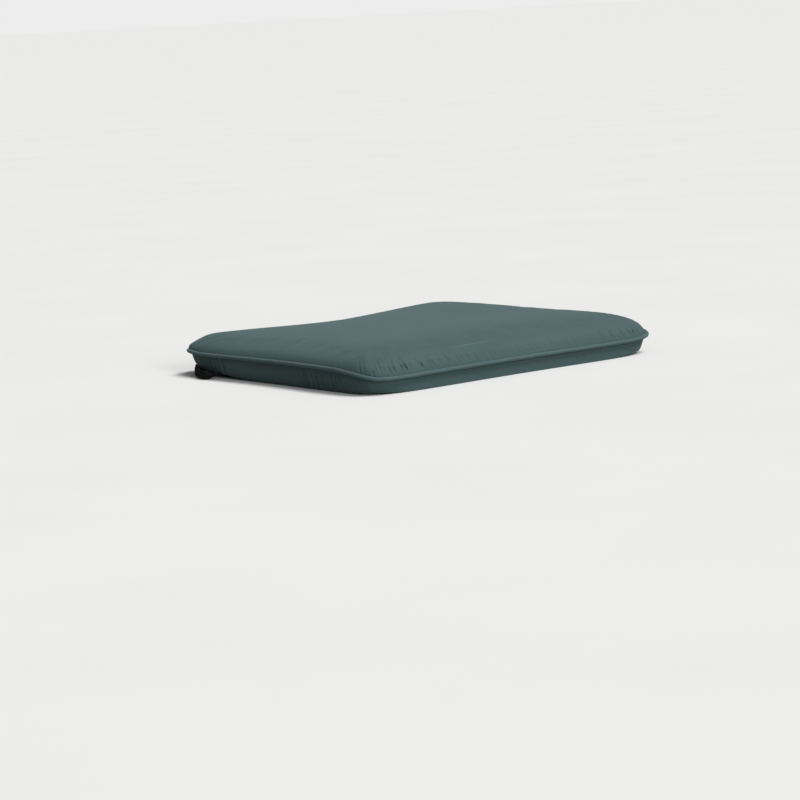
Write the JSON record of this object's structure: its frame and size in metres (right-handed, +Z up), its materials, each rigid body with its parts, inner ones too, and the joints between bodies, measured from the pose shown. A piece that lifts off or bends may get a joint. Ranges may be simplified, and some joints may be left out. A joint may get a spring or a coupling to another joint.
{
  "type": "chair seat pad",
  "caption": "Boxed, piped chair seat pad with a domed top, zipped rear boxing and a hook-and-loop strap at each rear corner.",
  "frame": {"origin": "middle of the footprint, on the face that rests on the seat", "axes": "+X to the right seen from the front of the chair, +Y to the back of the seat, +Z up"},
  "size_m": [0.5006, 0.4422, 0.058],
  "materials": {
    "cover_fabric": "plain woven polyester with a slight sheen",
    "piping_fabric": "the cover's cloth cut on the bias and wrapped tight",
    "cotton_cord": "twisted cord",
    "liner_cloth": "non-woven cloth",
    "wadding": "polyester wadding",
    "foam": "cut polyurethane foam",
    "zip_tape": "woven herringbone tape",
    "zip_coil": "satin monofilament",
    "zip_metal": "baked enamel",
    "webbing": "narrow woven tape",
    "loop_pile": "brushed loops",
    "hook_pile": "rows of small hooks",
    "thread": "polyester thread"
  },
  "bodies": {
    "cover": {"top_panel": "cover_fabric", "bottom_panel": "cover_fabric", "side_band": "cover_fabric", "left_corner_band": "cover_fabric", "right_corner_band": "cover_fabric", "zip_strip_upper": "cover_fabric", "zip_strip_lower": "cover_fabric", "piping_cover": "piping_fabric", "piping_cord": "cotton_cord", "liner_top": "liner_cloth", "liner_bottom": "liner_cloth", "wadding_top": "wadding", "wadding_bottom": "wadding", "foam_core": "foam", "zip_tape_upper": "zip_tape", "zip_tape_lower": "zip_tape", "zip_coil_upper": "zip_coil", "zip_coil_lower": "zip_coil", "zip_stops": "zip_metal", "left_loop_tail": "webbing", "left_loop_patch": "loop_pile", "left_hook_root": "webbing", "right_loop_tail": "webbing", "right_loop_patch": "loop_pile", "right_hook_root": "webbing", "bar_tacks": "thread"},
    "zip_slider": {"zip_slider": "zip_metal"},
    "zip_pull": {"zip_pull": "zip_metal"},
    "left_strap": {"left_hook_tail": "webbing", "left_hook_patch": "hook_pile"},
    "right_strap": {"right_hook_tail": "webbing", "right_hook_patch": "hook_pile"}
  },
  "joints": [
    {"name": "zip_slide", "type": "slide", "parent": "cover", "child": "zip_slider", "axis": [-1, 0, 0], "range_m": [0, 0.284]},
    {"name": "zip_pull_turn", "type": "hinge", "parent": "zip_slider", "child": "zip_pull", "pos_m": [0.142, 0.21843, 0.0113], "axis": [0, 0, -1], "range_deg": [0, 170]},
    {"name": "left_strap_open", "type": "hinge", "parent": "cover", "child": "left_strap", "pos_m": [-0.23811, 0.12977, 0.0064], "axis": [0, 0, 1], "range_deg": [0, 100]},
    {"name": "right_strap_open", "type": "hinge", "parent": "cover", "child": "right_strap", "pos_m": [0.23811, 0.12977, 0.0064], "axis": [0, 0, -1], "range_deg": [0, 100]}
  ]
}
